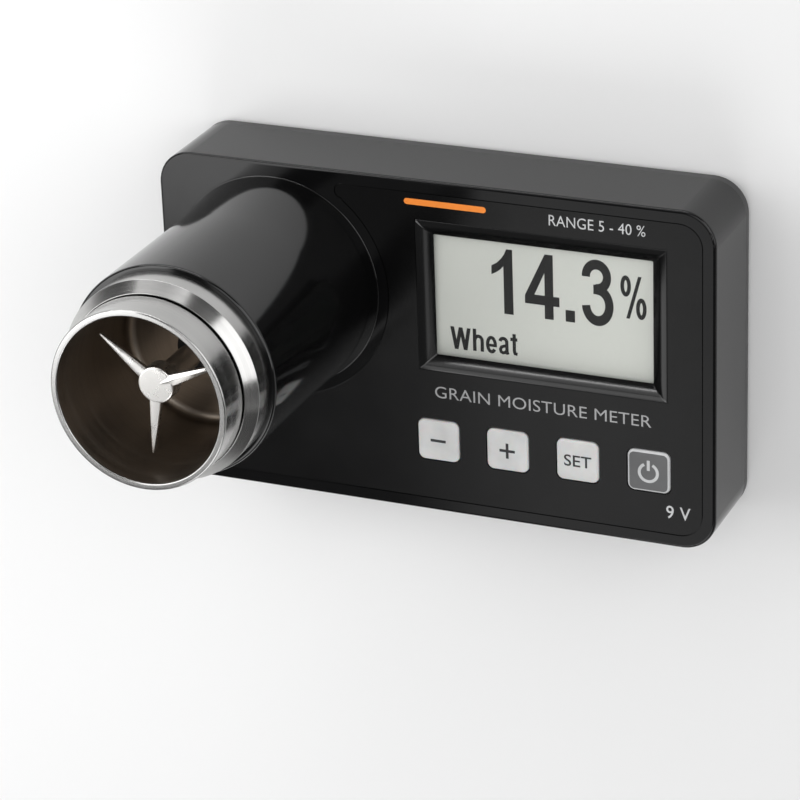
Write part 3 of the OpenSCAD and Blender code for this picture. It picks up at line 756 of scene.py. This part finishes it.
def ink_stroke(points, width, tall=1.0, steps_up=0, closed=False):
    """A stroke of the display's ink, raised by a number of STEPs."""
    add_stroke(bm, points, width, ink_low, ink_top + STEP * steps_up, closed=closed, tall=tall)


bm = bmesh.new()

# The reading, 14.3 %
one = [(17.5, 10.1), (20.0, 10.1), (19.95, 27.65), (18.35, 27.65), (17.75, 26.2), (16.9, 24.95),
       (15.75, 23.75), (14.3, 22.85), (14.25, 20.45), (15.45, 21.1), (16.6, 21.95), (17.5, 22.95)]
four = [(28.4, 10.15), (30.75, 10.15), (30.75, 13.8), (32.35, 13.8), (32.35, 16.4), (30.75, 16.4),
        (30.75, 27.55), (28.6, 27.55), (23.15, 16.0), (23.15, 13.8), (28.4, 13.8)]
four_hole = [(28.45, 16.4), (28.45, 22.5), (25.7, 16.4)]
add_prism(bm, one, ink_low, ink_top)
add_shape(bm, [four, four_hole], ink_low, ink_top)
add_prism(bm, oblong(33.95, 10.2, 36.45, 13.35), ink_low, ink_top)
ink_stroke(arc(42.25, 23.3, 2.78, 3.25, 184, -95, 32), 2.15, DIGIT_TALL)
ink_stroke(arc(42.5, 15.65, 3.08, 4.2, 95, -176, 36), 2.2, DIGIT_TALL, 1)
add_prism(bm, oblong(41.4, 18.6, 42.9, 21.15), ink_low, ink_top + 2 * STEP)
ink_stroke(arc(49.9, 21.83, 0.9, 2.25, 0, 360, 36)[:-1], 0.96, SIGN_TALL, closed=True)
ink_stroke(arc(53.96, 16.13, 0.9, 2.29, 0, 360, 36)[:-1], 0.96, SIGN_TALL, closed=True)
leg(bm, 53.62, 50.45, 24.7, 13.2, 0.46, ink_top + STEP)

# The grain chosen: W, h, e, a, t
for i, (x_top, x_low) in enumerate(((3.14, 4.22), (5.46, 4.22), (5.46, 6.68), (7.68, 6.68))):
    leg(bm, x_top, x_low, 4.75, -1.35, 0.5, ink_top + STEP * i)
leg(bm, 9.22, 9.2, 4.9, -1.2, 0.47, ink_top)
ink_stroke(arc(10.28, 1.85, 0.98, 1.1, 175, 0, 14) + [(11.26, 0.4), (11.24, -1.15)],
           0.9, LETTER_TALL, 1)
ink_stroke(arc(13.78, 1.12, 1.05, 1.95, 0, 322, 30), 0.88, LETTER_TALL)
ink_stroke([(12.9, 0.95), (15.24, 0.95)], 0.78, steps_up=1)
ink_stroke(arc(17.05, 2.3, 0.9, 0.95, 172, 0, 14) + [(17.96, 0.8), (17.98, -0.35), (18.25, -1.0)],
           0.88, LETTER_TALL)
ink_stroke([(17.95, 1.3), (17.2, 1.18), (16.5, 0.85), (16.2, 0.2), (16.38, -0.45), (16.9, -0.74),
            (17.5, -0.52), (17.95, 0.1)], 0.82, steps_up=1)
ink_stroke([(20.0, 4.85), (19.98, 2.0), (19.98, 0.2), (20.16, -0.5), (20.82, -0.62)], 0.88)
ink_stroke([(18.96, 3.32), (20.84, 3.32)], 0.9, steps_up=1)
piece("display_segments", bm, "ink", BODY, weighted=False)


# ---------------------------------------------------------------- print on the face

print_low, print_top = FOIL_TOP, FOIL_TOP + 0.02
bm = bmesh.new()
add_text(bm, "GRAIN MOISTURE METER", 0.0, -13.3, 58.15, 3.15, print_low, print_top, -0.004, 1.02)
piece("face_lettering", bm, "print", BODY, weighted=False)
bm = bmesh.new()
add_text(bm, "RANGE 5 - 40 %", 31.8, 37.6, 25.1, 2.8, print_low, print_top, -0.002, 1.02)
add_text(bm, "9 V", 62.0, -37.6, 6.4, 3.5, print_low, print_top, 0.006, 1.05)
piece("face_marks", bm, "bright", BODY, weighted=False)
bm = bmesh.new()
bar = square_ring(4.2, 39.5, 22.0, 1.6, 0.79, 0, 6, 2)
add_prism(bm, [(x, y) for x, y, z in bar], print_low, print_top)
accent = piece("face_accent", bm, "accent", BODY, weighted=False)


# ---------------------------------------------------------------- keys

KEY_TOP = high("minus_key").z
DOME = 0.10
CAP_W, CAP_R, CAP_ROLL = 11.2, 1.8, 0.5
FLANGE_W, FLANGE_T, STEM_R, STEM_H = 13.2, 0.9, 1.6, 1.85


def dome(cx, cy):
    """Height of a key's crowned top over a place on it."""
    def height(x, y):
        u, v = min(1.0, abs(x - cx) / 5.6), min(1.0, abs(y - cy) / 5.6)
        return KEY_TOP - DOME * (1 - (1 - u ** 4) * (1 - v ** 4))
    return height


def key_ring(c, w, r, z):
    """A ring of a key's cap round its middle, w wide, with corners of radius r."""
    return square_ring(c.x, c.y, w, w, r, z, 10, 10)


def key_cap(node, material):
    """Cap with a crowned top and rolled edge, on its hidden flange and stem. Gives its middle,
    and two heights that follow the crown: one just inside the cap, one just above it."""
    c = middle(node)
    crown = dome(c.x, c.y)
    stem_low = low(node).z
    flange_low = stem_low + STEM_H
    flange_high = flange_low + FLANGE_T
    base = FOIL_TOP - 0.1
    edge_steps, top_steps = 7, 8
    bm = bmesh.new()
    rings = [key_ring(c, FLANGE_W, CAP_R, flange_low), key_ring(c, FLANGE_W, CAP_R, flange_high),
             key_ring(c, CAP_W, CAP_R, flange_high), key_ring(c, CAP_W, CAP_R, base)]
    for k in range(1, edge_steps + 1):
        a = math.radians(90 * k / edge_steps)
        inward = CAP_ROLL * (1 - math.cos(a))
        rings.append(key_ring(c, CAP_W - 2 * inward, CAP_R - 0.6 * inward,
                              lambda x, y, up=math.sin(a): base + (crown(x, y) - base) * up))
    for k in range(1, top_steps + 1):
        share = 1 - k / (top_steps + 0.6)
        rings.append(key_ring(c, (CAP_W - 2 * CAP_ROLL) * share, max(0.04, 1.4 * share), crown))
    add_stack(bm, rings)
    stem_high = flange_low + 0.2
    part = bmesh.new()
    add_lathe(part, [(0.02, stem_low), (STEM_R, stem_low), (STEM_R, stem_high), (0.02, stem_high)], 32)
    bmesh.ops.translate(part, vec=(c.x, c.y, 0), verts=part.verts)
    spare = bpy.data.meshes.new("spare")
    part.to_mesh(spare)
    part.free()
    bm.from_mesh(spare)
    bpy.data.meshes.remove(spare)
    cap = piece(node + "_cap", bm, material, node + "_body")
    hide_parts(node)
    return c, (lambda x, y: crown(x, y) - 0.05), (lambda x, y: crown(x, y) + 0.02)


def symbol(node, bm, material):
    """Rides a key's printed symbol on that key."""
    piece(node + "_symbol", bm, material, node + "_body", weighted=False)


SIGN_HALF, SIGN_W = 2.1, 0.76
c, below, above = key_cap("minus_key", "key")
bm = bmesh.new()
add_stroke(bm, line((c.x - SIGN_HALF, c.y), (c.x + SIGN_HALF, c.y), 6), SIGN_W, below, above)
symbol("minus_key", bm, "symbol")

c, below, above = key_cap("plus_key", "key")
bm = bmesh.new()
add_stroke(bm, line((c.x - SIGN_HALF, c.y), (c.x + SIGN_HALF, c.y), 6), SIGN_W, below, above)
for s in (-1, 1):
    arm = line((c.x, c.y + s * SIGN_W / 2), (c.x, c.y + s * SIGN_HALF), 3)
    add_stroke(bm, arm, SIGN_W, below, above)
symbol("plus_key", bm, "symbol")

c, below, above = key_cap("set_key", "key")
bm = bmesh.new()
add_text(bm, "SET", c.x - 3.55, c.y - 1.55, 7.35, 3.15, below, above, 0.008)
symbol("set_key", bm, "symbol")

# The power key has a light edge round a dark field, which is nested rings that follow the crown
c, below, above = key_cap("power_key", "bright")
bm = bmesh.new()
sizes = [10.1 - k for k in range(10)]
rings = [square_ring(c.x, c.y, w, w, 0.13 * w, below, 8, 6) for w in reversed(sizes)]
rings += [square_ring(c.x, c.y, w, w, 0.13 * w, above, 8, 6) for w in sizes]
add_stack(bm, rings)
piece("power_key_field", bm, "power", "power_key_body", weighted=False)
higher = lambda x, y: above(x, y) + 0.012
bm = bmesh.new()
add_stroke(bm, arc(c.x, c.y - 0.25, 2.4, 2.4, 117, 423, 40), 0.78, below, higher)
add_stroke(bm, line((c.x, c.y + 0.3), (c.x, c.y + 3.1), 4), 0.78, below, higher)
symbol("power_key", bm, "bright")


# ---------------------------------------------------------------- stage, light and camera


def floor_material():
    """Matt pale grey, very slightly uneven."""
    s = Shader("pale_floor", (0.84, 0.84, 0.84), roughness=0.9)
    s.vary_colour(s.noise(s.place, 3, 2), (0.835, 0.835, 0.835), (0.845, 0.845, 0.845))
    return s.mat


bm = bmesh.new()
floor_half = 4.0
bmesh.ops.create_grid(bm, x_segments=4, y_segments=4, size=floor_half)
mesh = bpy.data.meshes.new("floor")
bm.to_mesh(mesh)
bm.free()
mesh.materials.append(floor_material())
floor = bpy.data.objects.new("floor", mesh)
bpy.context.scene.collection.objects.link(floor)


def softbox(name, where, aim, size, radiance):
    """An even panel of light, as bright as the given radiance from wherever it is seen."""
    light = bpy.data.lights.new(name, "AREA")
    light.shape = "RECTANGLE"
    light.size, light.size_y = size
    light.energy = radiance * math.pi * size[0] * size[1]
    obj = bpy.data.objects.new(name, light)
    bpy.context.scene.collection.objects.link(obj)
    obj.location = where
    obj.rotation_mode = "QUATERNION"
    obj.rotation_quaternion = (Vector(aim) - Vector(where)).to_track_quat("-Z", "Y")


def around(azimuth, elevation, distance):
    """A place seen from the origin in the given direction, in degrees, and distance in metres."""
    a, e = math.radians(azimuth), math.radians(elevation)
    flat = distance * math.cos(e)
    return (flat * math.cos(a), flat * math.sin(a), distance * math.sin(e))


# Panels that face the middle of the object: name, (azimuth, elevation, distance), size, radiance
centre = (0.0, 0.0, 0.02)
PANELS = (
    ("light_back", (112, 36, 1.1), (0.9, 0.36), 1.4),
    ("light_back_low", (104, 14, 1.1), (1.1, 0.36), 0.9),
    ("light_strip", (112, 5, 1.0), (0.9, 0.09), 9.0),
    ("light_right", (20, 27, 1.1), (1.15, 0.66), 2.1),
    ("light_corner", (-25, 13, 1.1), (0.45, 0.22), 0.75),
    ("light_front", (-85, 42, 1.2), (0.8, 0.6), 2.5),
    ("light_side", (207, 20, 1.0), (0.3, 0.5), 1.0),
)
softbox("light_left", (-0.60, 0.165, 0.58), (-0.60, 0.165, 0.0), (0.66, 0.78), 3.2)
softbox("light_middle", (-0.155, -0.26, 0.58), (-0.155, -0.26, 0.0), (0.15, 0.24), 0.95)
for name, direction, size, radiance in PANELS:
    softbox(name, around(*direction), centre, size, radiance)
softbox("light_top", (0.50, 0.50, 1.25), (0.0, 0.0, 0.0), (1.1, 1.1), 1.6)

world = bpy.data.worlds.new("studio")
world.use_nodes = True
background = world.node_tree.nodes["Background"]
background.inputs["Color"].default_value = (1, 1, 1, 1)
background.inputs["Strength"].default_value = 0.09
bpy.context.scene.world = world
bpy.context.scene.view_settings.view_transform = "Standard"

camera_data = bpy.data.cameras.new("camera")
camera_data.lens = 159.9
camera_data.sensor_width = 36
camera_data.clip_start = 0.05
camera_data.clip_end = 20
camera = bpy.data.objects.new("camera", camera_data)
bpy.context.scene.collection.objects.link(camera)
# The camera's place is given from the face; it stands askew, so its own upward line is given too
above_face = Vector((0.32509, 0.35756, 0.75928))
forward = Vector((-0.3681, -0.4100, -0.8345)).normalized()
right = forward.cross(Vector((-0.1314, 0.9115, -0.3898))).normalized()
upward = right.cross(forward)
place = Matrix((right, upward, -forward)).transposed().to_4x4()
place.translation = above_face + Vector((0, 0, FACE * MM))
camera.matrix_world = place
bpy.context.scene.camera = camera

# Kept out of the reflections in the tower and the bezel
for obj in (NODES["lcd_panel"], accent):
    obj.visible_glossy = False
